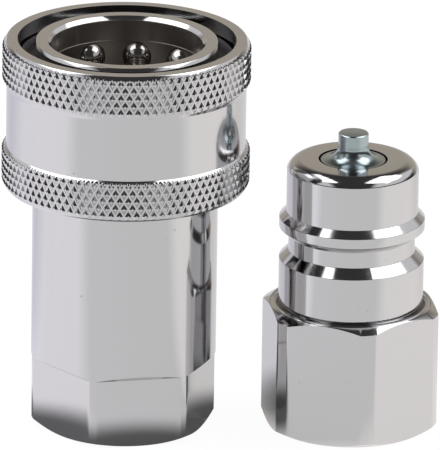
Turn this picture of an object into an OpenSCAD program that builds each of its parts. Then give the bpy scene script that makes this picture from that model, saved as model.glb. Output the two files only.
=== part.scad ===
// Ball-lock quick coupling: a socket half and a plug half, standing side by side.
// Each half stands on its port end, with its mating end up. Millimetres, +Z up.
// The origin is on the floor, in the middle of the pair's footprint.

/* [Layout] */
// Distance between the axes of the two halves, left to right
axis_spacing = 34.8; // [33.5:0.1:80]
// How far the plug half stands behind the socket half
plug_setback = 1; // [0:0.1:5]
// Turn of the socket half about its axis, in degrees
socket_turn = 41.5; // [0:0.5:60]
// Turn of the plug half about its axis, in degrees
plug_turn = 11.3; // [0:0.1:60]

/* [Socket body] */
// Length of the socket body from its port end to its mouth
socket_l = 61.4; // [60:0.1:75]
// Diameter of the turned socket body
socket_d = 28.4; // [28.2:0.05:28.8]
// Height of the wrench flats milled round the socket's port end
socket_flat_l = 11.2; // [8:0.1:16]
// Diameter of the lead-in above the balls
lead_d = 23.1; // [23.02:0.02:23.3]
// Chamfer inside the mouth
mouth_chamfer = 0.6; // [0.4:0.1:1]
// Width of the bevel outside the mouth
mouth_bevel = 0.34; // [0.2:0.02:0.6]

/* [Sleeve] */
// Diameter over the knurled bands
sleeve_d = 38; // [37.6:0.1:42]
// Diameter of the plain band between the knurled ones
grip_d = 36.66; // [36:0.02:37]
// Length of the sleeve
sleeve_l = 23.14; // [22.5:0.1:25]
// How far the sleeve stands above the mouth of the body
sleeve_proud = 0.18; // [0:0.02:0.6]
// Diameter of the sleeve's open counterbore and of its spring chamber
counterbore_d = 33.2; // [32.6:0.1:33.8]
// Length of the upper knurled band with its bevels
upper_band_l = 7.17; // [6.4:0.01:8]
// Length of the lower knurled band with its bevels
lower_band_l = 6.43; // [6.2:0.01:7.5]
// How far the sleeve is pulled back to let the plug go
sleeve_travel = 5.5; // [4:0.1:5.8]

/* [Knurl] */
// Crossed grooves round each knurled band
knurl_starts = 90; // [60:2:110]
// Angle between a groove and the axis, in degrees
knurl_angle = 30; // [26:1:34]
// Depth of the grooves
knurl_depth = 0.5; // [0.3:0.05:0.6]

/* [Locking balls] */
// Diameter of a locking ball
ball_d = 4.76; // [4.5:0.01:4.8]
// Number of locking balls
ball_count = 10; // [8:1:10]
// How far a ball at rest stands into the bore
ball_reach = 1.43; // [1.2:0.01:1.5]
// Depth of the ball centres below the mouth
ball_depth = 6.3; // [6.2:0.05:6.8]
// Angle of the first ball about the socket's axis, in degrees
ball_turn = 82.5; // [60:0.5:100]

/* [Plug body] */
// Length of the plug body from its port end to its nose
plug_l = 42.5; // [41:0.1:55]
// Diameter of the nose
nose_d = 20.22; // [20:0.02:20.3]
// Length of the nose above its collar
nose_l = 8.2; // [7.6:0.1:9.5]
// Radius round the edge of the nose
nose_round = 1.7; // [0.8:0.1:2.2]
// Diameter of the collar that the balls lock behind
collar_d = 22.36; // [22.2:0.02:22.5]
// Width of the collar's plain land
collar_w = 1.5; // [1:0.1:2]
// Diameter of the locking groove
groove_d = 19.44; // [19.2:0.02:19.7]
// Width of the locking groove's floor
groove_w = 2.5; // [2.2:0.1:3]
// Height of the collar's locking flank
flank_h = 1.15; // [1:0.05:1.5]
// Diameter of the turned barrel below the groove
barrel_d = 22.26; // [22:0.02:23.5]
// Height of the plug's hexagon at its corners
plug_hex_l = 18.6; // [14:0.1:19.4]
// Diameter over the plug's turned hexagon corners
plug_corner_d = 27.76; // [27:0.02:28.6]
// Radius of the relief groove round the foot of the barrel
relief_r = 0.65; // [0.4:0.05:0.7]

/* [Wrench flats and ports] */
// Distance across the wrench flats of both halves
flat_w = 25.2; // [24.8:0.1:26]
// Minor diameter of the port threads
port_d = 18.6; // [18.2:0.1:18.8]
// Depth of the port threads
port_l = 13; // [10:0.5:14]

/* [Valves] */
// Diameter of the valve chambers
chamber_d = 16.4; // [16:0.1:16.8]
// Diameter of the opening that the poppet looks out of
throat_d = 10.4; // [10:0.1:10.8]
// How far a poppet's tip stands proud of its seat face
tip_reach = 4.25; // [3.5:0.05:4.6]
// Diameter of a poppet's tip
tip_d = 4.64; // [4:0.02:5]
// Length of the tip above its flare
tip_l = 2.15; // [1.5:0.05:2.3]
// Radius of the hollow flare under the tip
flare_r = 2.7; // [2.5:0.1:2.9]
// Diameter of a poppet's stem
stem_d = 4.8; // [4:0.1:5]
// Travel of a valve
valve_travel = 4.3; // [3:0.1:4.5]

/* [Springs] */
// Wire of the sleeve spring
sleeve_wire = 1.1; // [0.9:0.05:1.1]
// Wire of the valve springs
valve_wire = 1; // [0.8:0.05:1.1]
// Turns of the sleeve spring
sleeve_turns = 3.5; // [3:0.25:3.5]
// Turns of a valve spring
valve_turns = 6; // [5:0.5:6.5]

/* [Hidden] */
$fn = 96;

// Clearances
fit_gap = 0.05;        // running fit, on the radius
seat_gap = 0.02;       // between pieces that seat on each other
ball_gap = 0.05;       // round a ball in its pocket

// Places of the two halves: the pair's footprint is centred on the origin
corner_half = 30 - acos(flat_w / plug_corner_d);     // half angle of a corner's round strip
side_turn = min([for (k = [0 : 5]) abs(plug_turn + 60 * k - 90)]);
plug_reach_x = plug_corner_d / 2 * cos(max(0, side_turn - corner_half));
socket_x = -(axis_spacing + plug_reach_x - sleeve_d / 2) / 2;
plug_x = socket_x + axis_spacing;

// Heights of the plug's steps, from the floor
collar_top = plug_l - nose_l - (collar_d - nose_d) / 2;
collar_foot = collar_top - collar_w;
groove_top = collar_foot - flank_h;
groove_foot = groove_top - groove_w;
groove_mid = (groove_top + groove_foot) / 2;
barrel_top = groove_foot - (barrel_d - groove_d) / 2;
hex_slope = tan(30);
hex_top = plug_hex_l + ((plug_corner_d - barrel_d) / 2 - 2 * relief_r) * hex_slope;
foot_margin = 0.2;
foot_r = flat_w / 2 - foot_margin;            // flat ring that either half stands on

// Bore of the socket, which the plug's nose and collar slide into
bore_r = 11.35;                               // clear of the collar
nose_bore_r = nose_d / 2 + 0.14;              // sealed on the nose
ball_z = socket_l - ball_depth;
face_gap = 0.3;                               // between the two seat faces when coupled
collar_play = 1.6;                            // room in front of the collar when coupled
socket_face = ball_z - (plug_l - groove_mid) - face_gap;
bore_foot = ball_z - (collar_top - groove_mid) - collar_play;
nose_bore_top = bore_foot - (bore_r - nose_bore_r);
lead_margin = 0.1;                            // plain bore left between the balls and the lead-in
seal_wire = 2;
backup_l = 0.8;
seal_groove_depth = 1.85;
seal_land = 1.1;                              // plain bore above the seal groove
seal_groove_r = nose_bore_r + seal_groove_depth;
seal_groove_top = nose_bore_top - seal_land;
seal_groove_foot = seal_groove_top - seal_wire - backup_l - 3 * seat_gap;

// Locking balls: their centres move out along the radius as the sleeve is pulled
ball_r = ball_d / 2;
ball_rest = bore_r + ball_r - ball_reach;
ball_travel = ball_reach + fit_gap;
race_slope = atan(ball_travel / sleeve_travel);
race_offset = ball_r + fit_gap;
pocket_r = ball_r + ball_gap;
lead_foot = ball_z + pocket_r + lead_margin;

// Sleeve, from its top edge down
sleeve_top = socket_l + sleeve_proud;
sleeve_foot = sleeve_top - sleeve_l;
counterbore_r = counterbore_d / 2;
grip_r = grip_d / 2;
stop_ring_l = 1.2;
stop_ring_depth = 3.37;
stop_groove_depth = 0.8;
stop_ring_play = 0.05;                        // between the ring and its groove's floor
stop_ring_clear = 0.3;                        // between the ring and the counterbore
stop_ring_z = socket_l - stop_ring_depth;     // underside, where the sleeve's shoulder rests
sleeve_shoulder = stop_ring_z - seat_gap;
race_foot = ball_z - race_offset * sin(race_slope);
race_land_l = 1.1;
guide_top = race_foot - race_land_l;
sleeve_guide_l = 1.9;
guide_foot = guide_top - sleeve_guide_l;
guide_r = socket_d / 2 + fit_gap;
function race_r(z) = ball_rest + race_offset / cos(race_slope) + (z - ball_z) * tan(race_slope);

// Snap ring that the sleeve spring stands on
seat_ring_wire = 1.5;
seat_ring_proud = 0.45;                       // of the wire's centre, above the body
seat_ring_lift = 1.5;
seat_ring_r = socket_d / 2 + seat_ring_proud;
seat_ring_z = sleeve_foot + seat_ring_lift;
spring_foot = seat_ring_z + seat_ring_wire / 2 + seat_gap;
spring_head = guide_foot - seat_gap;
coil_play = 0.3;
sleeve_coil_r = guide_r + coil_play + sleeve_wire / 2;

// Valve of either half, with heights from the seat face down
chamber_r = chamber_d / 2;
throat_r = throat_d / 2;
throat_l = 1;
throat_gap = 0.45;                            // dark ring round the poppet
rim_r = throat_r - throat_gap;
flare_turn = acos(1 - (rim_r - tip_d / 2) / flare_r);
flare_top = tip_reach - tip_l;
flare_foot = flare_top - flare_r * sin(flare_turn);
flow_gap = 1.3;                               // round the poppet's flange
rim_l = 0.2;
flange_r = chamber_r - flow_gap;
cone_top = flare_foot - rim_l;
flange_top = cone_top - (flange_r - rim_r);
flange_l = 1;
flange_foot = flange_top - flange_l;
valve_seal_wire = 1.2;
valve_spring_l = 13;                          // as fitted
guide_face = flange_foot - valve_spring_l;
guide_l = 2;
hub_l = 5;
hub_wall = 1.1;
hub_r = stem_d / 2 + hub_wall;
guide_wall = 0.8;                             // round the flow holes
circlip_l = 1.2;
circlip_foot = guide_face - guide_l - circlip_l - seat_gap;
circlip_groove = 0.7;
circlip_w = 1.8;
circlip_split = 5;
eye_r = 1.3;
eye_hole_r = 0.6;
circlip_r = chamber_r + circlip_groove;
stem_tail = 1.5;                              // of the stem, below the circlip
stem_foot = circlip_foot - stem_tail;
valve_coil_shift = 0.4;
valve_coil_r = (hub_r + flange_r) / 2 - valve_coil_shift;
port_relief_depth = 1.4;
port_relief_r = port_d / 2 + port_relief_depth;
port_relief_l = 2;
port_chamfer = 1.3;

// Points of an arc in the r-z plane
function arc(c, r, a0, a1, steps = 12) =
    [for (i = [0 : steps]) let (a = a0 + (a1 - a0) * i / steps) [c[0] + r * cos(a), c[1] + r * sin(a)]];

module at_socket() { translate([socket_x, 0, 0]) children(); }
module at_plug() { translate([plug_x, plug_setback, 0]) children(); }
module in_socket_valve() { at_socket() translate([0, 0, socket_face]) children(); }
module in_plug_valve() { at_plug() translate([0, 0, plug_l]) children(); }

// Ring of round wire
module wire_ring(r, wire) { rotate_extrude() translate([r, 0]) circle(d = wire, $fn = 32); }

// Six wrench flats with the corners left round
module hexagon(h) { rotate(-90) linear_extrude(h) circle(r = flat_w / 2 / cos(30), $fn = 6); }

// Coil spring whose first and last turns lie closed, swept as one solid
module coil(r, wire, z0, z1, turns) {
    sides = 8;
    steps = 16;
    count = round(turns * steps);
    shut = wire * 1.03;
    open = (z1 - z0 - wire - 2 * shut) / (turns - 2);
    function rise(t) = t < 1 ? shut * t : t > turns - 1 ? shut + open * (turns - 2) + shut * (t - turns + 1)
        : shut + open * (t - 1);
    points = [for (i = [0 : count], k = [0 : sides - 1])
        let (t = i / steps, a = 360 * t, b = 90 + 360 * k / sides, q = r + wire / 2 * cos(b))
        [q * cos(a), q * sin(a), z0 + wire / 2 + rise(t) + wire / 2 * sin(b)]];
    skin = [for (i = [0 : count - 1], k = [0 : sides - 1])
        let (a = i * sides + k, b = i * sides + (k + 1) % sides)
        each [[a, b, a + sides], [b, b + sides, a + sides]]];
    ends = [[for (k = [sides - 1 : -1 : 0]) k], [for (k = [0 : sides - 1]) count * sides + k]];
    polyhedron(points, concat(skin, ends));
}

// Diamond knurl: rows of pyramids between two families of crossed grooves
module knurl(z0, z1) {
    columns = 2 * knurl_starts;
    valley_r = sleeve_d / 2 - knurl_depth;
    root_r = valley_r - 0.3;
    row_h = PI * sleeve_d / columns / tan(knurl_angle);
    rows = floor((z1 - z0 - 1.2 * row_h) / row_h) + 1;
    first = (z0 + z1 - (rows - 1) * row_h) / 2;
    heights = concat([z0], [for (j = [0 : rows - 1]) first + j * row_h], [z1]);
    last = len(heights) - 1;
    function peak(m, n) = n > 0 && n < last && (m + n) % 2 == 1;
    function ring(r, z) =
        [for (m = [0 : columns - 1]) let (a = 180 * m / knurl_starts) [r * cos(a), r * sin(a), z]];
    points = concat(
        [for (n = [0 : last], m = [0 : columns - 1])
            let (a = 180 * m / knurl_starts, r = peak(m, n) ? sleeve_d / 2 : valley_r)
            [r * cos(a), r * sin(a), heights[n]]],
        ring(root_r, z1), ring(root_r, z0));
    outer = [for (n = [0 : last - 1], m = [0 : columns - 1])
        let (a = n * columns + m, b = n * columns + (m + 1) % columns, c = a + columns, d = b + columns)
        each (m + n) % 2 == 1 ? [[a, c, b], [d, b, c]] : [[a, d, b], [a, c, d]]];
    inner = [for (n = [last : last + 2], m = [0 : columns - 1])
        let (a = n * columns + m, b = n * columns + (m + 1) % columns, wrap = n == last + 2,
             c = wrap ? m : a + columns, d = wrap ? (m + 1) % columns : b + columns)
        [a, c, d, b]];
    polyhedron(points, concat(outer, inner));
}

// Turned profile inside either body: throat, valve seat, chamber, circlip groove and port
function valve_bore(face) = [
    [throat_r, face], [throat_r, face - throat_l],
    [chamber_r, face - throat_l - (chamber_r - throat_r)],
    [chamber_r, face + circlip_foot + circlip_l + seat_gap / 2],
    [circlip_r + seat_gap, face + circlip_foot + circlip_l + seat_gap / 2],
    [circlip_r + seat_gap, face + circlip_foot - seat_gap / 2],
    [chamber_r, face + circlip_foot - seat_gap / 2],
    [chamber_r, port_l + port_relief_l], [port_relief_r, port_l + port_relief_l],
    [port_relief_r, port_l], [port_d / 2, port_l],
    [port_d / 2, port_chamfer], [port_d / 2 + port_chamfer, 0],
];

module socket_body() {
    r = socket_d / 2;
    groove_r = r - stop_groove_depth;
    color("silver") at_socket() difference() {
        rotate_extrude() polygon(concat([
            [foot_r, 0], [r, (r - foot_r) * hex_slope],
            [r, stop_ring_z - seat_gap], [groove_r, stop_ring_z - seat_gap],
            [groove_r, stop_ring_z + stop_ring_l + seat_gap], [r, stop_ring_z + stop_ring_l + seat_gap],
            [r, socket_l - 0.5], [r - mouth_bevel, socket_l],
            [lead_d / 2 + mouth_chamfer, socket_l], [lead_d / 2, socket_l - mouth_chamfer],
            [lead_d / 2, lead_foot], [bore_r, lead_foot], [bore_r, bore_foot], [nose_bore_r, nose_bore_top],
            [nose_bore_r, seal_groove_top], [seal_groove_r, seal_groove_top],
            [seal_groove_r, seal_groove_foot], [nose_bore_r, seal_groove_foot],
            [nose_bore_r, socket_face]], valve_bore(socket_face)));
        // wrench flats
        difference() {
            translate([0, 0, -1]) cylinder(r = r + 1, h = socket_flat_l + 1);
            translate([0, 0, -2]) rotate(socket_turn) hexagon(socket_flat_l + 4);
        }
        // groove for the spring's snap ring
        translate([0, 0, seat_ring_z]) wire_ring(seat_ring_r, seat_ring_wire + 2 * seat_gap);
        // ball pockets, each with a lip that keeps its ball out of the bore
        for (i = [0 : ball_count - 1]) rotate(ball_turn + 360 * i / ball_count)
            translate([ball_rest, 0, ball_z]) {
            sphere(r = pocket_r);
            rotate([0, 90, 0]) cylinder(r = pocket_r, h = r);
        }
    }
}

module locking_sleeve() {
    valley_r = sleeve_d / 2 - knurl_depth;
    core_r = valley_r - fit_gap;
    lower_top = sleeve_foot + lower_band_l;
    upper_foot = sleeve_top - upper_band_l;
    edge = 0.2;
    color("silver") at_socket() {
        rotate_extrude() polygon([
            [counterbore_r, sleeve_foot], [grip_r, sleeve_foot], [core_r, sleeve_foot + edge],
            [core_r, lower_top - edge], [grip_r, lower_top],
            [grip_r, upper_foot], [core_r, upper_foot + edge],
            [core_r, sleeve_top - edge], [grip_r, sleeve_top],
            [counterbore_r, sleeve_top], [counterbore_r, sleeve_shoulder],
            [race_r(sleeve_shoulder), sleeve_shoulder], [race_r(race_foot), race_foot],
            [race_r(race_foot), guide_top], [guide_r, guide_top], [guide_r, guide_foot],
            [counterbore_r, guide_foot]]);
        knurl(sleeve_foot + edge, lower_top - edge);
        knurl(upper_foot + edge, sleeve_top - edge);
    }
}

module sleeve_spring() {
    color("dimgray") at_socket() coil(sleeve_coil_r, sleeve_wire, spring_foot, spring_head, sleeve_turns);
}

// Flat snap ring, split at one side
module flat_ring(r_in, r_out, h, split, turn) {
    difference() {
        cylinder(r = r_out, h = h);
        translate([0, 0, -1]) cylinder(r = r_in, h = h + 2);
        rotate(turn) translate([0, -split / 2, -1]) cube([r_out + 1, split, h + 2]);
    }
}

module sleeve_stop_ring() {
    color("dimgray") at_socket() translate([0, 0, stop_ring_z])
        flat_ring(socket_d / 2 - stop_groove_depth + stop_ring_play, counterbore_r - stop_ring_clear,
                  stop_ring_l, 2, 60);
}

module spring_seat_ring() {
    color("dimgray") at_socket() translate([0, 0, seat_ring_z]) difference() {
        wire_ring(seat_ring_r, seat_ring_wire);
        rotate(200) translate([0, -0.75, -2]) cube([socket_d, 1.5, 4]);
    }
}

module locking_ball(i) {
    color("gainsboro") at_socket() rotate(ball_turn + 360 * (i - 1) / ball_count)
        translate([ball_rest, 0, ball_z]) sphere(d = ball_d);
}

module socket_seal() {
    color("black") at_socket() translate([0, 0, seal_groove_foot + seat_gap + seal_wire / 2])
        wire_ring(seal_groove_r - seat_gap - seal_wire / 2, seal_wire);
}

module socket_backup_ring() {
    color("ivory") at_socket() translate([0, 0, seal_groove_top - seat_gap - backup_l]) difference() {
        cylinder(r = seal_groove_r - seat_gap, h = backup_l);
        translate([0, 0, -1]) cylinder(r = nose_bore_r, h = backup_l + 2);
    }
}

// Poppet: proud tip, hollow flare, seat cone with its seal groove, flange and stem
module poppet() {
    tip_r = tip_d / 2;
    difference() {
        rotate_extrude() polygon(concat(
            [[0, stem_foot], [stem_d / 2 - 0.4, stem_foot], [stem_d / 2, stem_foot + 0.4],
             [stem_d / 2, flange_foot], [flange_r, flange_foot], [flange_r, flange_top], [rim_r, cone_top]],
            arc([tip_r + flare_r, flare_top], flare_r, 180 + flare_turn, 180),
            [[tip_r, tip_reach - 0.15], [tip_r - 0.15, tip_reach], [0, tip_reach]]));
        poppet_seal(valve_seal_wire + 2 * seat_gap);
    }
}

// Ring in the poppet's cone, just clear of the seat
module poppet_seal(wire) {
    seat_sum = throat_r - throat_l;
    z = (cone_top + flange_top) / 2 - 0.25;
    translate([0, 0, z]) wire_ring(seat_sum - z - (valve_seal_wire / 2 + fit_gap) * sqrt(2), wire);
}

module valve_spring() {
    coil(valve_coil_r, valve_wire, guide_face + seat_gap, flange_foot - seat_gap, valve_turns);
}

// Guide: flow-through disc with a hub that the stem slides in
module valve_guide() {
    difference() {
        union() {
            translate([0, 0, guide_face - guide_l]) cylinder(r = chamber_r - fit_gap, h = guide_l);
            translate([0, 0, guide_face - guide_l]) cylinder(r = hub_r, h = guide_l + hub_l);
        }
        translate([0, 0, guide_face - guide_l - 1])
            cylinder(r = stem_d / 2 + fit_gap, h = guide_l + hub_l + 2);
        for (a = [0 : 60 : 300]) rotate(a)
            translate([(hub_r + chamber_r) / 2 + 0.1, 0, guide_face - guide_l - 1])
            cylinder(d = chamber_r - hub_r - 2 * guide_wall, h = guide_l + 2);
    }
}

// Circlip: open ring with two eyes for the pliers
module circlip() {
    r_in = circlip_r - circlip_w;
    module at_eyes(z) { for (s = [-1, 1]) rotate(s * 22) translate([r_in - 0.1, 0, z]) children(); }
    translate([0, 0, circlip_foot]) difference() {
        union() {
            flat_ring(r_in, circlip_r, circlip_l, circlip_split, 0);
            at_eyes(0) cylinder(r = eye_r, h = circlip_l);
        }
        at_eyes(-1) cylinder(r = eye_hole_r, h = circlip_l + 2);
    }
}

module plug_body() {
    nose_r = nose_d / 2;
    corner_r = plug_corner_d / 2;
    color("silver") at_plug() difference() {
        rotate_extrude() polygon(concat(
            [[foot_r, 0], [corner_r, (corner_r - foot_r) * hex_slope], [corner_r, plug_hex_l]],
            arc([barrel_d / 2 + relief_r, hex_top], relief_r, 360, 180),
            [[barrel_d / 2, barrel_top], [groove_d / 2, groove_foot], [groove_d / 2, groove_top],
             [collar_d / 2, collar_foot], [collar_d / 2, collar_top], [nose_r, plug_l - nose_l]],
            arc([nose_r - nose_round, plug_l - nose_round], nose_round, 0, 90),
            valve_bore(plug_l)));
        // wrench flats
        difference() {
            translate([0, 0, -1]) cylinder(r = corner_r + 1, h = hex_top + 1);
            translate([0, 0, -2]) rotate(plug_turn) hexagon(hex_top + 4);
        }
    }
}

module socket_poppet() { color("lightsteelblue") in_socket_valve() poppet(); }
module socket_poppet_seal() { color("black") in_socket_valve() poppet_seal(valve_seal_wire); }
module socket_valve_spring() { color("dimgray") in_socket_valve() valve_spring(); }
module socket_valve_guide() { color("goldenrod") in_socket_valve() valve_guide(); }
module socket_circlip() { color("dimgray") in_socket_valve() circlip(); }
module plug_poppet() { color("lightsteelblue") in_plug_valve() poppet(); }
module plug_poppet_seal() { color("black") in_plug_valve() poppet_seal(valve_seal_wire); }
module plug_valve_spring() { color("dimgray") in_plug_valve() valve_spring(); }
module plug_valve_guide() { color("goldenrod") in_plug_valve() valve_guide(); }
module plug_circlip() { color("dimgray") in_plug_valve() circlip(); }

socket_body();
locking_sleeve();
sleeve_spring();
sleeve_stop_ring();
spring_seat_ring();
for (i = [1 : ball_count]) locking_ball(i);
socket_seal();
socket_backup_ring();
socket_poppet();
socket_poppet_seal();
socket_valve_spring();
socket_valve_guide();
socket_circlip();
plug_body();
plug_poppet();
plug_poppet_seal();
plug_valve_spring();
plug_valve_guide();
plug_circlip();
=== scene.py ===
import bmesh
import bpy
import math
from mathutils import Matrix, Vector


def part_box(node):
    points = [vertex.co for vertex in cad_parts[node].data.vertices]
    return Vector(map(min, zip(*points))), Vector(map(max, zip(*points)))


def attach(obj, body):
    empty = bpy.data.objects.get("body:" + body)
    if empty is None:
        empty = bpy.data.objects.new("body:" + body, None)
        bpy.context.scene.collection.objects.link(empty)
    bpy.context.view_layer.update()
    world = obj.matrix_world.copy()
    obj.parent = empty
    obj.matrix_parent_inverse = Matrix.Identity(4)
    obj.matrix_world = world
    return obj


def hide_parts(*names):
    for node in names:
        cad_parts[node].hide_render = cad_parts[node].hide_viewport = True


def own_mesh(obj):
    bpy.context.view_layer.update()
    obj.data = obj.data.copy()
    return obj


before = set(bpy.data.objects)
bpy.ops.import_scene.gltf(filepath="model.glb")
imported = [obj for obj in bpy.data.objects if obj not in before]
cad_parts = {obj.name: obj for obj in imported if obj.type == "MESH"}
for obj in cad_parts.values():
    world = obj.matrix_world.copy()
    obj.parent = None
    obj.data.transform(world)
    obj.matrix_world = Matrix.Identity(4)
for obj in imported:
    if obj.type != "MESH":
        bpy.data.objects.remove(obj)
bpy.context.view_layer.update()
MM = 0.001


# ---------------------------------------------------------------- places and sizes, in millimetres
def axis_of(node):
    low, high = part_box(node)
    return ((low[0] + high[0]) / 2 / MM, (low[1] + high[1]) / 2 / MM)


def foot_of(node):
    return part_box(node)[0][2] / MM


def top_of(node):
    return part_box(node)[1][2] / MM


SOCKET = axis_of("locking_sleeve")
PLUG = axis_of("plug_poppet")
SOCKET_TURN = 41.5
PLUG_TURN = 11.3
FLAT_W = 25.2
CHAMFER = math.tan(math.radians(30))
SEAT_GAP = 0.02
FOOT_R = 12.4
PORT_R, PORT_L, PORT_CHAMFER = 9.3, 13.0, 1.3
RELIEF_R, RELIEF_L = 10.7, 2.0
# half-inch parallel pipe thread, 14 threads to the inch
THREAD_PITCH, THREAD_DEPTH = 25.4 / 14, 1.1
THREAD_STEPS, THREAD_FADE = 60, 6
CHAMBER_R, THROAT_R, THROAT_L = 8.2, 5.2, 1.0
CIRCLIP_DEPTH, CIRCLIP_GROOVE, CIRCLIP_ROOM = 18.94, 0.7, 1.22
TIP_REACH = 4.25
SOCKET_FACE = top_of("socket_poppet") - TIP_REACH
PLUG_FACE = top_of("plug_poppet") - TIP_REACH


# ---------------------------------------------------------------- building turned meshes
def rounded(points, radius=0.12, steps=3, closed=True):
    """Outline with every corner replaced by a small arc; a third value sets a corner's own radius."""
    out = []
    count = len(points)
    for i, point in enumerate(points):
        here = Vector(point[:2])
        if not closed and i in (0, count - 1):
            out.append((here.x, here.y))
            continue
        back = Vector(points[i - 1][:2]) - here
        ahead = Vector(points[(i + 1) % count][:2]) - here
        want = point[2] if len(point) > 2 else radius
        room = 0.45 * min(back.length, ahead.length)
        back.normalize()
        ahead.normalize()
        half = back.angle(ahead, math.pi) / 2
        if half > 1.5 or room < 1e-4:
            cut = min(0.01, room)
            for k in range(steps + 1):
                t = k / steps
                spot = here + back * cut * (1 - t) + ahead * cut * t
                out.append((spot.x, spot.y))
            continue
        cut = min(want / math.tan(half), room)
        bow = cut * math.tan(half)
        centre = here + (back + ahead).normalized() * cut / math.cos(half)
        start = here + back * cut - centre
        turn = math.pi - 2 * half
        side = 1 if start.x * ahead.y - start.y * ahead.x > 0 else -1
        first = math.atan2(start.y, start.x)
        for k in range(steps + 1):
            a = first + side * turn * k / steps
            out.append((centre.x + bow * math.cos(a), centre.y + bow * math.sin(a)))
    return out


def arc(centre, radius, start, end, steps=10):
    """Points of an arc, angles in degrees."""
    return [
        (centre[0] + radius * math.cos(math.radians(start + (end - start) * k / steps)),
         centre[1] + radius * math.sin(math.radians(start + (end - start) * k / steps)), 0)
        for k in range(steps + 1)
    ]


def new_object(name, verts, faces, place=(0, 0)):
    mesh = bpy.data.meshes.new(name)
    mesh.from_pydata([tuple(c * MM for c in v) for v in verts], [], faces)
    mesh.validate()
    piece = bpy.data.objects.new(name, mesh)
    piece.location = (place[0] * MM, place[1] * MM, 0)
    bpy.context.scene.collection.objects.link(piece)
    return piece


def crisp(piece, angle=35):
    """Smooth shading that keeps real edges, weighted so that plain faces reflect flat."""
    mesh = piece.data
    mesh.shade_smooth()
    bpy.context.view_layer.objects.active = piece
    piece.select_set(True)
    bpy.ops.object.shade_smooth_by_angle(angle=math.radians(angle))
    piece.select_set(False)
    weighted = piece.modifiers.new("even_faces", "WEIGHTED_NORMAL")
    weighted.keep_sharp = True
    return piece


def turned(name, angles, profile, place, closed=True, split=None, angle=35):
    """Solid of revolution; the outline may change with the angle, as it does round wrench flats."""
    outlines = [profile(k, a) for k, a in enumerate(angles)]
    rows, columns = len(outlines[0]), len(angles)
    verts = [
        (r * math.cos(a), r * math.sin(a), z)
        for outline, a in zip(outlines, angles) for r, z in outline
    ]
    faces = []
    for c in range(columns):
        d = (c + 1) % columns
        for k in range(rows if closed else rows - 1):
            m = (k + 1) % rows
            quad = (c * rows + k, d * rows + k, d * rows + m, c * rows + m)
            way = split(c, k) if split else None
            if way is None:
                faces.append(quad)
            elif way:
                faces += [(quad[0], quad[1], quad[2]), (quad[0], quad[2], quad[3])]
            else:
                faces += [(quad[0], quad[1], quad[3]), (quad[1], quad[2], quad[3])]
    piece = new_object(name, verts, faces, place)
    work = bmesh.new()
    work.from_mesh(piece.data)
    bmesh.ops.remove_doubles(work, verts=work.verts, dist=1e-8)
    bmesh.ops.recalc_face_normals(work, faces=work.faces)
    work.to_mesh(piece.data)
    work.free()
    return crisp(piece, angle)


def even_angles(count):
    return [2 * math.pi * k / count for k in range(count)]


def hexagon_angles(turn, corner_r, strip_steps=8, flat_steps=34):
    """Angles round a hexagon whose corners were turned to corner_r, with lines on each corner's edges."""
    half = 30 - math.degrees(math.acos(FLAT_W / 2 / corner_r))
    angles = []
    for k in range(6):
        corner = turn - 90 + 60 * k
        angles += [corner - half + 2 * half * s / strip_steps for s in range(strip_steps)]
        wide = 60 - 2 * half
        angles += [corner + half + wide * s / flat_steps for s in range(flat_steps)]
    return [math.radians(a) for a in angles]


def flat_reach(angle, turn, corner_r):
    """Distance from the axis to the hexagon's side at an angle."""
    off = (math.degrees(angle) - turn + 90) % 60 - 30
    return min(FLAT_W / 2 / math.cos(math.radians(off)), corner_r - 0.004)


def port_thread(angle):
    """Female thread from the port's relief down to its mouth."""
    rows = []
    for k in range(THREAD_STEPS + 1):
        z = PORT_L - (PORT_L - PORT_CHAMFER) * k / THREAD_STEPS
        phase = (z / THREAD_PITCH - angle / (2 * math.pi)) % 1
        wave = min(1, max(0, 1.25 * (1 - abs(2 * phase - 1)) - 0.1))
        fade = min(1, k / THREAD_FADE)
        rows.append((PORT_R + THREAD_DEPTH * wave * fade, z))
    rows.append((PORT_R + PORT_CHAMFER, 0))
    return rows


def valve_seat(face):
    """Outline from the throat down to the port's relief."""
    groove_top = face - CIRCLIP_DEPTH
    groove_foot = groove_top - CIRCLIP_ROOM
    return [
        (THROAT_R, face, 0.1), (THROAT_R, face - THROAT_L),
        (CHAMBER_R, face - THROAT_L - (CHAMBER_R - THROAT_R)),
        (CHAMBER_R, groove_top), (CHAMBER_R + CIRCLIP_GROOVE, groove_top),
        (CHAMBER_R + CIRCLIP_GROOVE, groove_foot), (CHAMBER_R, groove_foot),
        (CHAMBER_R, PORT_L + RELIEF_L), (RELIEF_R, PORT_L + RELIEF_L), (RELIEF_R, PORT_L),
    ]


# ---------------------------------------------------------------- materials
SMEAR_MM = 4.0
PIT_SPACING = 8  # in pit sizes


def linear(hex_colour):
    """sRGB hex to linear RGBA."""
    parts = [int(hex_colour[k:k + 2], 16) / 255 for k in (1, 3, 5)]
    return tuple(c / 12.92 if c <= 0.04045 else ((c + 0.055) / 1.055) ** 2.4 for c in parts) + (1,)


def add(tree, kind, settings=None, sockets=None):
    """Adds a node with its settings; a socket takes a value or another node's output."""
    node = tree.nodes.new("ShaderNode" + kind)
    for key, value in (settings or {}).items():
        setattr(node, key, value)
    for key, value in (sockets or {}).items():
        if isinstance(value, bpy.types.NodeSocket):
            tree.links.new(value, node.inputs[key])
        else:
            node.inputs[key].default_value = value
    return node


def blank(name):
    material = bpy.data.materials.new(name)
    material.use_nodes = True
    tree = material.node_tree
    tree.nodes.clear()
    return material, tree


def stops(node, points):
    """Fills a colour ramp from (place, colour) pairs."""
    ramp = node.color_ramp
    while len(ramp.elements) < len(points):
        ramp.elements.new(1)
    for element, (place, colour) in zip(ramp.elements, points):
        element.position = place
        element.color = colour
    return node


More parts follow.
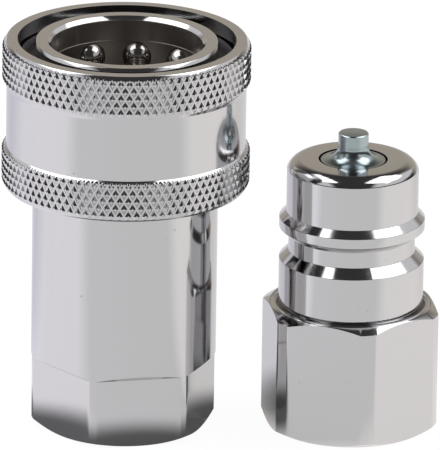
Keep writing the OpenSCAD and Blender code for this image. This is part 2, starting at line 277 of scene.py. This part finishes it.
def turned_metal(name, colour, rough, ring_mm, ring_depth_mm, tarnish,
                 pit_size_mm=0.3, pits=0.0, smears=0.4, bore=None):
    """Turned metal: rings left by the tool's feed, faint smears, and a few small dark pits.

    bore is (radius_mm, foot_mm, colour, roughness) for a bore above foot_mm, whose darker colour is painted
    shade and whose roughness is a duller finish."""
    material, tree = blank(name)
    place = add(tree, "TexCoord").outputs["Object"]
    apart = add(tree, "SeparateXYZ", {}, {0: place})
    flat = add(tree, "CombineXYZ", {}, {0: apart.outputs[0], 1: apart.outputs[1]})
    reach = add(tree, "VectorMath", {"operation": "LENGTH"}, {0: flat.outputs[0]})
    # the outline's own length, near enough, so that rings run round every turned face
    along = add(tree, "Math", {"operation": "MULTIPLY_ADD"}, {
        0: reach.outputs["Value"], 1: 1.37, 2: apart.outputs[2]})
    rings = add(tree, "TexNoise", {"noise_dimensions": "1D"},
                {"W": along.outputs[0], "Scale": 1 / (ring_mm * MM), "Detail": 2.0, "Roughness": 0.6})
    bump = add(tree, "Bump", {}, {
        "Height": rings.outputs["Fac"], "Distance": ring_depth_mm * MM, "Strength": 1.0})
    # smears from handling, a few millimetres across
    smear = add(tree, "TexNoise", {}, {
        "Vector": place, "Scale": 1 / (SMEAR_MM * MM), "Detail": 4.0, "Roughness": 0.6})
    smear_rough = add(tree, "MapRange", {}, {
        "Value": smear.outputs["Fac"], "From Min": 0.35, "From Max": 0.75,
        "To Min": rough, "To Max": rough * (1 + smears)})
    spots = add(tree, "TexVoronoi", {"feature": "F1"}, {
        "Vector": place, "Scale": 1 / (pit_size_mm * PIT_SPACING * MM)})
    rare = add(tree, "SeparateColor", {}, {0: spots.outputs["Color"]})
    size = add(tree, "MapRange", {}, {
        "Value": rare.outputs[0], "From Min": 1 - pits, "From Max": 1.0, "To Min": 0.0, "To Max": 0.09})
    inside = add(tree, "Math", {"operation": "LESS_THAN"}, {
        0: spots.outputs["Distance"], 1: size.outputs[0]})
    tone = add(tree, "Mix", {"data_type": "RGBA"}, {
        0: inside.outputs[0], 6: linear(colour), 7: linear(tarnish)})
    colour_out, rough_out = tone.outputs[2], smear_rough.outputs[0]
    # inside the bore the darker colour is painted shade, and the higher roughness is a duller finish
    if bore:
        near = add(tree, "Math", {"operation": "LESS_THAN"}, {0: reach.outputs["Value"], 1: bore[0] * MM})
        above = add(tree, "Math", {"operation": "GREATER_THAN"}, {0: apart.outputs[2], 1: bore[1] * MM})
        within = add(tree, "Math", {"operation": "MULTIPLY"}, {0: near.outputs[0], 1: above.outputs[0]})
        colour_out = add(tree, "Mix", {"data_type": "RGBA"}, {
            0: within.outputs[0], 6: colour_out, 7: linear(bore[2])}).outputs[2]
        rough_out = add(tree, "Mix", {"data_type": "FLOAT"}, {
            0: within.outputs[0], 2: rough_out, 3: bore[3]}).outputs[0]
    shader = add(tree, "BsdfPrincipled", {}, {
        "Base Color": colour_out, "Metallic": 1.0, "Roughness": rough_out, "Normal": bump.outputs[0]})
    add(tree, "OutputMaterial", {}, {0: shader.outputs[0]})
    return material


def plain_soft(name, colour, rough, grain_mm):
    """Moulded rubber or plastic: even colour, fine moulded grain."""
    material, tree = blank(name)
    place = add(tree, "TexCoord").outputs["Object"]
    grain = add(tree, "TexNoise", {}, {"Vector": place, "Scale": 1 / (grain_mm * MM), "Detail": 3.0})
    bump = add(tree, "Bump", {}, {"Height": grain.outputs["Fac"], "Distance": 0.02 * MM, "Strength": 0.5})
    shader = add(tree, "BsdfPrincipled", {}, {
        "Base Color": linear(colour), "Roughness": rough, "Normal": bump.outputs[0]})
    add(tree, "OutputMaterial", {}, {0: shader.outputs[0]})
    return material


# turned steel under bright plate: mirror-like, with the tool's rings just left and a few specks
plated = turned_metal("bright_plated_turned_steel", "#cdcccd", 0.08, 0.35, 0.0009, "#4a4742",
                      pit_size_mm=0.16, pits=0.16)
# the socket's bore takes little plate, so it is duller; its darker, greyer colour there is painted shade
plated_with_painted_bore_shade = turned_metal("bright_plated_steel_with_painted_shade_in_dull_bore", "#cdcccd", 0.08, 0.35, 0.0009, "#4a4742",
                     pit_size_mm=0.16, pits=0.16, bore=(11.62, 42.0, "#a09b96", 0.3))
knurled = turned_metal("bright_plated_knurled_steel", "#cdcccd", 0.09, 0.35, 0.0008, "#4a4742",
                       pit_size_mm=0.16, pits=0.2)
# hardened bearing balls: ground and lapped, so they mirror sharply
lapped = turned_metal("lapped_bearing_steel", "#b7b3b0", 0.12, 0.5, 0.0001, "#777777")
# poppets are zinc plated, which leaves a bluish, slightly milky metal with plain tool rings
zinc = turned_metal("clear_zinc_plated_steel", "#aab6b9", 0.16, 0.4, 0.02, "#5a5f66", smears=0.8)
wire = turned_metal("drawn_spring_wire", "#8d8c8c", 0.25, 0.5, 0.001, "#444444")
blackened = turned_metal("phosphated_ring_steel", "#4a4848", 0.35, 0.5, 0.001, "#222222")
brass = turned_metal("turned_brass", "#d9bb7a", 0.18, 0.3, 0.003, "#8a6a35")
nitrile = plain_soft("nitrile_rubber", "#1c1c1d", 0.45, 0.2)
ptfe = plain_soft("white_ptfe", "#e4e1d8", 0.4, 0.3)


def dress(piece, material):
    piece.data.materials.clear()
    piece.data.materials.append(material)
    return piece


# ---------------------------------------------------------------- socket half
SOCKET_R = 14.2
BORE_R, BORE_FOOT = 11.35, 49.6
LEAD_R, LEAD_FOOT, MOUTH_CHAMFER = 11.55, 57.63, 0.6
MOUTH_BEVEL_W, MOUTH_BEVEL_H = 0.34, 0.5
FLAT_TOP = 10.8
NOSE_BORE_R, NOSE_BORE_TOP = 10.25, 48.5
SEAL_GROOVE_R, SEAL_GROOVE_FOOT, SEAL_GROOVE_TOP = 12.1, 44.54, 47.4
STOP_GROOVE_R, STOP_RING_L = SOCKET_R - 0.8, 1.2
MOUTH_Z = top_of("socket_body")
STOP_RING_Z = foot_of("sleeve_stop_ring")
BALL_Z = (top_of("locking_ball_1") + foot_of("locking_ball_1")) / 2


def socket_outline(_, angle):
    reach = flat_reach(angle, SOCKET_TURN, SOCKET_R)
    # the cutter leaves a slope over each flat, highest in the flat's middle
    off = (math.degrees(angle) - SOCKET_TURN + 90) % 60 - 30
    run_out = max(0, SOCKET_R * math.cos(math.radians(off)) - FLAT_W / 2) * CHAMFER
    groove_foot, groove_top = STOP_RING_Z - SEAT_GAP, STOP_RING_Z + STOP_RING_L + SEAT_GAP
    outline = [
        (FOOT_R, 0), (reach, (reach - FOOT_R) * CHAMFER), (reach, FLAT_TOP, 0.03),
        (SOCKET_R, FLAT_TOP + run_out + 0.01, 0.06),
        (SOCKET_R, groove_foot), (STOP_GROOVE_R, groove_foot),
        (STOP_GROOVE_R, groove_top), (SOCKET_R, groove_top),
        (SOCKET_R, MOUTH_Z - MOUTH_BEVEL_H), (SOCKET_R - MOUTH_BEVEL_W, MOUTH_Z),
        (LEAD_R + MOUTH_CHAMFER, MOUTH_Z, 0.06), (LEAD_R, MOUTH_Z - MOUTH_CHAMFER),
        (LEAD_R, LEAD_FOOT, 0.03), (BORE_R, LEAD_FOOT, 0.03),
        (BORE_R, BORE_FOOT), (NOSE_BORE_R, NOSE_BORE_TOP),
        (NOSE_BORE_R, SEAL_GROOVE_TOP), (SEAL_GROOVE_R, SEAL_GROOVE_TOP),
        (SEAL_GROOVE_R, SEAL_GROOVE_FOOT), (NOSE_BORE_R, SEAL_GROOVE_FOOT),
        (NOSE_BORE_R, SOCKET_FACE, 0.3),
    ] + valve_seat(SOCKET_FACE)
    return rounded(outline, closed=False)[:-1] + port_thread(angle)


def ball_angle(k):
    low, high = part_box(f"locking_ball_{k}")
    return math.atan2((low[1] + high[1]) / 2 - SOCKET[1] * MM, (low[0] + high[0]) / 2 - SOCKET[0] * MM)


BALL_R = (top_of("locking_ball_1") - foot_of("locking_ball_1")) / 2
BALL_REST = 12.3
BALL_ROOM_R = BALL_R + 0.09
DRILL_L = 6
BALLS = range(1, 11)


def cut_pockets(body):
    """Bores a pocket for each ball, wide outside and with a lip at the bore."""
    cutters = []
    for k in BALLS:
        a = ball_angle(k)
        out = Vector((math.cos(a), math.sin(a), 0))
        spot = Vector((SOCKET[0], SOCKET[1], BALL_Z)) * MM + out * BALL_REST * MM
        bpy.ops.mesh.primitive_uv_sphere_add(
            segments=32, ring_count=16, radius=BALL_ROOM_R * MM, location=spot)
        ball_room = bpy.context.object
        bpy.ops.mesh.primitive_cylinder_add(vertices=32, radius=BALL_ROOM_R * MM, depth=DRILL_L * MM)
        drill = bpy.context.object
        drill.location = spot + out * DRILL_L / 2 * MM
        drill.rotation_euler = (0, math.pi / 2, a)
        cutters += [ball_room, drill]
    cutter = cutters[0]
    for other in cutters:
        other.select_set(True)
    bpy.context.view_layer.objects.active = cutter
    bpy.ops.object.join()
    cut = body.modifiers.new("ball_pockets", "BOOLEAN")
    cut.operation = "DIFFERENCE"
    cut.solver = "EXACT"
    cut.use_self = True
    cut.object = cutter
    bpy.context.view_layer.update()
    graph = bpy.context.evaluated_depsgraph_get()
    shape = bpy.data.meshes.new_from_object(body.evaluated_get(graph))
    body.modifiers.clear()
    body.data = shape
    bpy.data.objects.remove(cutter)
    return body


socket = turned("socket_half_body", hexagon_angles(SOCKET_TURN, SOCKET_R), socket_outline, SOCKET)
socket.modifiers.clear()
crisp(cut_pockets(socket))
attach(socket, "bodies")
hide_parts("socket_body")
dress(socket, plated_with_painted_bore_shade)

# ---------------------------------------------------------------- sleeve and its knurls
SLEEVE_FOOT, SLEEVE_TOP = foot_of("locking_sleeve"), top_of("locking_sleeve")
KNURL_STARTS, KNURL_ANGLE = 90, 30
KNURL_R, KNURL_DEPTH = 19.0, 0.3
# shares of a half diamond: the groove's flat floor, then the sloping wall, and the rest is the flat tip
KNURL_FLOOR, KNURL_WALL = 0.2, 0.6
FINE = 5  # mesh steps to a half diamond
COLUMNS = 2 * KNURL_STARTS
ROW_H = math.pi * 2 * KNURL_R / COLUMNS / math.tan(math.radians(KNURL_ANGLE))
BAND_MARGIN = 0.05
GRIP_R = 18.33
UPPER_BAND, LOWER_BAND = 7.17, 6.43
LOWER_TOP = SLEEVE_FOOT + LOWER_BAND
UPPER_FOOT = SLEEVE_TOP - UPPER_BAND
COUNTERBORE_R, COUNTERBORE_FOOT = 16.6, 58.01
RACE_HEAD_R, RACE_HEAD = 15.6, 58.01
RACE_R, RACE_TOP, RACE_FOOT = 14.81, 54.47, 53.37
GUIDE_R, GUIDE_FOOT = 14.25, 51.47


def knurl_height(u, v):
    """Share of full height at a place on the knurl, counted in half diamonds."""
    m, n = math.floor(u + 1e-6), math.floor(v + 1e-6)
    x, y = u - m, v - n
    high = abs(1 - x - y) if (m + n) % 2 else abs(x - y)
    return min(1, max(0, (high - KNURL_FLOOR) / KNURL_WALL))


def band_rows(low, high):
    """Heights of the lattice lines in a band, and each one's row number."""
    first = (low + high) / 2 - 2 * ROW_H
    step = ROW_H / FINE
    rows = []
    k = math.ceil((low + BAND_MARGIN - first) / step)
    while first + k * step < high - BAND_MARGIN:
        rows.append((first + k * step, 1 + k / FINE))
        k += 1
    return rows


LOWER_ROWS = band_rows(SLEEVE_FOOT, LOWER_TOP)
UPPER_ROWS = band_rows(UPPER_FOOT, SLEEVE_TOP)


def band_profile(u, rows, low_cone, high_cone):
    """Outline of a knurled band between the bevels at its two ends."""
    out = []
    for z, v in rows:
        r = KNURL_R - KNURL_DEPTH + KNURL_DEPTH * knurl_height(u, v)
        out.append((min(r, low_cone(z), high_cone(z)), z))
    return out


def cone(z0, r0, z1, r1):
    """Radius of a bevel as a function of height."""
    return lambda z: r0 + (r1 - r0) * (z - z0) / (z1 - z0)


LOWER_BEVELS = (cone(SLEEVE_FOOT, 18.4, SLEEVE_FOOT + 1.1, 19.05),
                cone(LOWER_TOP, GRIP_R, LOWER_TOP - 0.62, KNURL_R))
UPPER_BEVELS = (cone(UPPER_FOOT, GRIP_R, UPPER_FOOT + 1.29, KNURL_R),
                cone(SLEEVE_TOP, 18.36, SLEEVE_TOP - 0.95, KNURL_R))
SLEEVE_INSIDE = rounded([
    (GRIP_R, SLEEVE_TOP, 0.05), (COUNTERBORE_R, SLEEVE_TOP, 0.1), (COUNTERBORE_R, COUNTERBORE_FOOT),
    (RACE_HEAD_R, RACE_HEAD), (RACE_R, RACE_TOP), (RACE_R, RACE_FOOT),
    (GUIDE_R, RACE_FOOT), (GUIDE_R, GUIDE_FOOT),
    (COUNTERBORE_R, GUIDE_FOOT), (COUNTERBORE_R, SLEEVE_FOOT, 0.2), (GRIP_R, SLEEVE_FOOT, 0.1)], closed=False)


def sleeve_outline(column, _):
    u = column / FINE
    lower = band_profile(u, LOWER_ROWS, *LOWER_BEVELS)
    upper = band_profile(u, UPPER_ROWS, *UPPER_BEVELS)
    band = [(GRIP_R, z) for z in (LOWER_TOP, LOWER_TOP + BAND_MARGIN, UPPER_FOOT - BAND_MARGIN, UPPER_FOOT)]
    return lower + band + upper + SLEEVE_INSIDE


def knurl_split(column, row):
    """Which way a mesh square is halved, so that its diagonal runs along the groove."""
    rows = LOWER_ROWS + [None] * 4 + UPPER_ROWS
    if row + 1 >= len(rows) or rows[row] is None or rows[row + 1] is None:
        return None
    m, n = math.floor(column / FINE + 1e-6), math.floor(rows[row][1] + 1e-6)
    return (m + n) % 2 == 0


sleeve = turned("locking_sleeve_knurled", even_angles(COLUMNS * FINE), sleeve_outline, SOCKET,
                split=knurl_split, angle=28)
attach(sleeve, "sleeve")
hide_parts("locking_sleeve")
dress(sleeve, knurled)

# ---------------------------------------------------------------- plug half
CORNER_R = 13.88
NOSE_R, COLLAR_R, GROOVE_R, BARREL_R = 10.11, 11.18, 9.72, 11.13
PLUG_HEX_L, FOOT_RELIEF = 18.6, 0.65
BARREL_TOP, GROOVE_FOOT, GROOVE_TOP = 26.67, 28.08, 30.58
COLLAR_FOOT, COLLAR_TOP, NOSE_FOOT = 31.73, 33.23, 34.3
# the nose's edge is an arc that meets the nose at a faint line
NOSE_EDGE_R, NOSE_EDGE_IN, NOSE_EDGE_START = 2.207, 2.11, 17


def plug_outline(_, angle):
    reach = flat_reach(angle, PLUG_TURN, CORNER_R)
    rim = BARREL_R + 2 * FOOT_RELIEF
    hex_top = PLUG_HEX_L + (CORNER_R - rim) * CHAMFER
    top = PLUG_FACE
    outline = [
        (FOOT_R, 0), (reach, (reach - FOOT_R) * CHAMFER, 0.05),
        (reach, PLUG_HEX_L + (CORNER_R - reach) * CHAMFER, 0.05), (rim, hex_top, 0.05)
    ] + arc((BARREL_R + FOOT_RELIEF, hex_top), FOOT_RELIEF, 355, 180) + [
        (BARREL_R, BARREL_TOP), (GROOVE_R, GROOVE_FOOT), (GROOVE_R, GROOVE_TOP), (COLLAR_R, COLLAR_FOOT),
        (COLLAR_R, COLLAR_TOP), (NOSE_R, NOSE_FOOT, 0.05)
    ] + arc((NOSE_R - NOSE_EDGE_IN, top - NOSE_EDGE_R), NOSE_EDGE_R, NOSE_EDGE_START, 90) + valve_seat(top)
    return rounded(outline, closed=False)[:-1] + port_thread(angle)


plug = turned("plug_half_body", hexagon_angles(PLUG_TURN, CORNER_R), plug_outline, PLUG)
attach(plug, "bodies")
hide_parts("plug_body")
dress(plug, plated)


# ---------------------------------------------------------------- valves
TIP_R, TIP_CHAMFER, BRIM_R, CONE_R, FLANGE_R, STEM_R = 2.32, 0.15, 4.95, 4.75, 6.9, 2.4
# heights from the seat face: the flare's head and brim, the cone's head and foot, the flange, the stem
FLARE_TOP, BRIM_TOP, BRIM_FOOT, CONE_TOP = 2.1, -0.1, -0.3, -0.787
CONE_FOOT = CONE_TOP - (FLANGE_R - CONE_R)
FLANGE_FOOT = CONE_FOOT - 1
STEM_L, STEM_CHAMFER = 17.72, 0.4
FLARE_STEPS = 12


def make_poppet(half, face, place):
    """Poppet with a proud tip, a hollow flare, a seat cone, a flange and a stem."""
    stem_foot = FLANGE_FOOT - STEM_L
    wide, high = BRIM_R - TIP_R, FLARE_TOP - BRIM_TOP
    quarter = [math.pi / 2 * (1 - k / FLARE_STEPS) for k in range(FLARE_STEPS + 1)]
    outline = [
        (0, stem_foot), (STEM_R - STEM_CHAMFER, stem_foot), (STEM_R, stem_foot + STEM_CHAMFER),
        (STEM_R, FLANGE_FOOT), (FLANGE_R, FLANGE_FOOT), (FLANGE_R, CONE_FOOT), (CONE_R, CONE_TOP, 0.02),
        (BRIM_R, BRIM_FOOT, 0.02)
    ] + [(TIP_R + wide * (1 - math.cos(t)), FLARE_TOP - high * math.sin(t), 0) for t in quarter] + [
        (TIP_R, TIP_REACH - TIP_CHAMFER, 0.05), (TIP_R - TIP_CHAMFER, TIP_REACH, 0.05), (0, TIP_REACH)]
    shape = [(r, z + face) for r, z in rounded(outline, 0.08, closed=False)]
    piece = turned(f"{half}_valve_poppet", even_angles(128), lambda k, a: shape, place, closed=False)
    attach(piece, f"{half}_valve")
    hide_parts(f"{half}_poppet")
    dress(piece, zinc)


for half, face, place in (("socket", SOCKET_FACE, SOCKET), ("plug", PLUG_FACE, PLUG)):
    make_poppet(half, face, place)


# ---------------------------------------------------------------- springs
def coil(name, r, thick, low, high, turns, place, sides=12, steps=48):
    """Round-wire compression spring with closed ends."""
    shut = thick * 1.03
    rise = (high - low - thick - 2 * shut) / (turns - 2)
    count = round(turns * steps)
    verts = []
    for i in range(count + 1):
        t = i / steps
        if t < 1:
            lift = shut * t
        elif t > turns - 1:
            lift = shut + rise * (turns - 2) + shut * (t - turns + 1)
        else:
            lift = shut + rise * (t - 1)
        for k in range(sides):
            b = 2 * math.pi * k / sides
            q = r + thick / 2 * math.cos(b)
            verts.append((q * math.cos(2 * math.pi * t), q * math.sin(2 * math.pi * t),
                          low + thick / 2 + lift + thick / 2 * math.sin(b)))
    faces = []
    for i in range(count):
        for k in range(sides):
            a, b = i * sides + k, i * sides + (k + 1) % sides
            faces.append((a, a + sides, b + sides, b))
    faces += [tuple(range(sides)), tuple(count * sides + k for k in reversed(range(sides)))]
    return crisp(new_object(name, verts, faces, place), 50)


def add_spring(node, r, thick, turns, place):
    low, high = foot_of(node), top_of(node)
    piece = coil(node + "_wire", r, thick, low, high, turns, place)
    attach(piece, "bodies")
    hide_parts(node)
    dress(piece, wire)
    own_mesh(piece)


add_spring("sleeve_spring", 15.1, 1.1, 3.5, SOCKET)
add_spring("socket_valve_spring", 4.8, 1.0, 6, SOCKET)
add_spring("plug_valve_spring", 4.8, 1.0, 6, PLUG)

# ---------------------------------------------------------------- small pieces whose solids serve as they are
for names, material in (
    ([f"locking_ball_{k}" for k in BALLS], lapped),
    (["sleeve_stop_ring", "spring_seat_ring", "socket_circlip", "plug_circlip"], blackened),
    (["socket_valve_guide", "plug_valve_guide"], brass),
    (["socket_seal", "socket_poppet_seal", "plug_poppet_seal"], nitrile),
    (["socket_backup_ring"], ptfe),
):
    for name in names:
        dress(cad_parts[name], material)

# ---------------------------------------------------------------- floor, studio and camera
FLOOR_HALF = 4.0
bpy.ops.mesh.primitive_plane_add(size=2 * FLOOR_HALF, location=(0, 0, -0.00002))
floor = bpy.context.object
floor.name = "floor"
table_top, tree = blank("white_table_top")
path = add(tree, "LightPath")
seen = add(tree, "Math", {"operation": "MAXIMUM"}, {
    0: path.outputs["Is Camera Ray"], 1: path.outputs["Is Glossy Ray"]})
seen = add(tree, "Math", {"operation": "MAXIMUM"}, {
    0: seen.outputs[0], 1: path.outputs["Is Transmission Ray"]})
place = add(tree, "TexCoord").outputs["Object"]
round_about = add(tree, "TexGradient", {"gradient_type": "RADIAL"}, {"Vector": place})
# the table is lit brighter from both sides than from the front and the back
tint = stops(add(tree, "ValToRGB", {}, {"Fac": round_about.outputs["Fac"]}), [
    (0.0, (0.95, 0.93, 0.98, 1)), (0.085, (0.93, 0.92, 0.96, 1)), (0.12, (0.72, 0.72, 0.735, 1)),
    (0.25, (0.70, 0.70, 0.705, 1)), (0.38, (0.70, 0.70, 0.70, 1)), (0.42, (0.91, 0.89, 0.88, 1)),
    (0.55, (0.92, 0.89, 0.87, 1)), (0.62, (0.72, 0.71, 0.69, 1)), (0.75, (0.66, 0.65, 0.68, 1)),
    (0.88, (0.66, 0.65, 0.74, 1)), (0.95, (0.93, 0.92, 0.97, 1))])
# close round the socket half the table lies in its shade
SHADE_IN, SHADE_OUT, SHADE_LEVEL = 17, 27, 0.12
spot = add(tree, "VectorMath", {"operation": "DISTANCE"}, {0: place, 1: (SOCKET[0] * MM, SOCKET[1] * MM, 0)})
shade = add(tree, "MapRange", {"interpolation_type": "SMOOTHSTEP"}, {
    "Value": spot.outputs["Value"], "From Min": SHADE_IN * MM, "From Max": SHADE_OUT * MM,
    "To Min": SHADE_LEVEL, "To Max": 1.0})
shaded = add(tree, "VectorMath", {"operation": "SCALE"}, {0: tint.outputs[0], 3: shade.outputs[0]})
shown = add(tree, "Mix", {"data_type": "RGBA"}, {
    0: path.outputs["Is Glossy Ray"], 6: (0.9, 0.9, 0.9, 1), 7: shaded.outputs[0]})
bright = add(tree, "Emission", {}, {"Color": shown.outputs[2], "Strength": 1.15})
matte = add(tree, "BsdfDiffuse", {}, {"Color": linear("#f4f4f4")})
part_seen = add(tree, "Math", {"operation": "MULTIPLY"}, {0: seen.outputs[0], 1: 0.92})
both = add(tree, "MixShader", {}, {0: part_seen.outputs[0], 1: matte.outputs[0], 2: bright.outputs[0]})
add(tree, "OutputMaterial", {}, {0: both.outputs[0]})
floor.data.materials.append(table_top)

world = bpy.data.worlds.new("studio")
bpy.context.scene.world = world
world.use_nodes = True
tree = world.node_tree
tree.nodes.clear()
path = add(tree, "LightPath")
way = add(tree, "SeparateXYZ", {}, {0: add(tree, "TexCoord").outputs["Generated"]})
# taupe wall low down at the back, dark sides, dark ceiling between the two soft boxes
back = add(tree, "MapRange", {}, {"Value": way.outputs[1], "From Min": 0.62, "From Max": 0.84})
wall = stops(add(tree, "ValToRGB", {}, {"Fac": way.outputs[2]}), [
    (0.0, (0.5, 0.47, 0.43, 1)), (0.33, (0.46, 0.42, 0.36, 1)),
    (0.5, (0.2, 0.18, 0.16, 1)), (0.75, (0.03, 0.03, 0.03, 1))])
# pale screens at both sides, above the dark
sideways = add(tree, "Math", {"operation": "ABSOLUTE"}, {0: way.outputs[0]})
aside = add(tree, "MapRange", {}, {"Value": sideways.outputs[0], "From Min": 0.46, "From Max": 0.6})
raised = add(tree, "MapRange", {}, {"Value": way.outputs[2], "From Min": 0.24, "From Max": 0.34})
screen = add(tree, "Math", {"operation": "MULTIPLY"}, {0: aside.outputs[0], 1: raised.outputs[0]})
low = add(tree, "Mix", {"data_type": "RGBA"}, {
    0: back.outputs[0], 6: (0.045, 0.044, 0.045, 1), 7: wall.outputs[0]})
room = add(tree, "Mix", {"data_type": "RGBA"}, {
    0: screen.outputs[0], 6: low.outputs[2], 7: (0.78, 0.78, 0.8, 1)})
mirror_view = add(tree, "Background", {}, {"Color": room.outputs[2], "Strength": 1.0})
plain_view = add(tree, "Background", {}, {"Color": (1, 1, 1, 1), "Strength": 1.0})
soft_fill = add(tree, "Background", {}, {"Color": (1, 1, 1, 1), "Strength": 0.45})
lit = add(tree, "MixShader", {}, {
    0: path.outputs["Is Glossy Ray"], 1: soft_fill.outputs[0], 2: mirror_view.outputs[0]})
whole = add(tree, "MixShader", {}, {
    0: path.outputs["Is Camera Ray"], 1: lit.outputs[0], 2: plain_view.outputs[0]})
add(tree, "OutputWorld", {}, {0: whole.outputs[0]})


def soft_box(name, x, y, z, wide, deep, radiance):
    data = bpy.data.lights.new(name, "AREA")
    data.shape = "RECTANGLE"
    data.size, data.size_y = wide, deep
    data.energy = radiance * wide * deep * math.pi
    lamp = bpy.data.objects.new(name, data)
    lamp.location = (x, y, z)
    bpy.context.scene.collection.objects.link(lamp)


for side, way_out in (("left", -1), ("right", 1)):
    soft_box(f"{side}_soft_box", way_out * 0.49, 0.075, 0.65, 0.58, 0.65, 2.2)

AIM = Vector((-0.072, 0, 31.80)) * MM
DISTANCE = 1771.8 * MM
ELEVATION = math.radians(19.11)
ROLL = math.radians(0.842)
camera_data = bpy.data.cameras.new("camera")
camera = bpy.data.objects.new("camera", camera_data)
bpy.context.scene.collection.objects.link(camera)
bpy.context.scene.camera = camera
camera_data.lens = 924.93
camera_data.sensor_width = 36
camera_data.clip_start, camera_data.clip_end = 0.1, 20
camera.location = AIM + DISTANCE * Vector((0, -math.cos(ELEVATION), math.sin(ELEVATION)))
camera.rotation_euler = (math.pi / 2 - ELEVATION, 0, 0)
camera.rotation_euler.rotate_axis("Z", ROLL)
bpy.context.scene.view_settings.view_transform = "Standard"

bpy.context.view_layer.update()
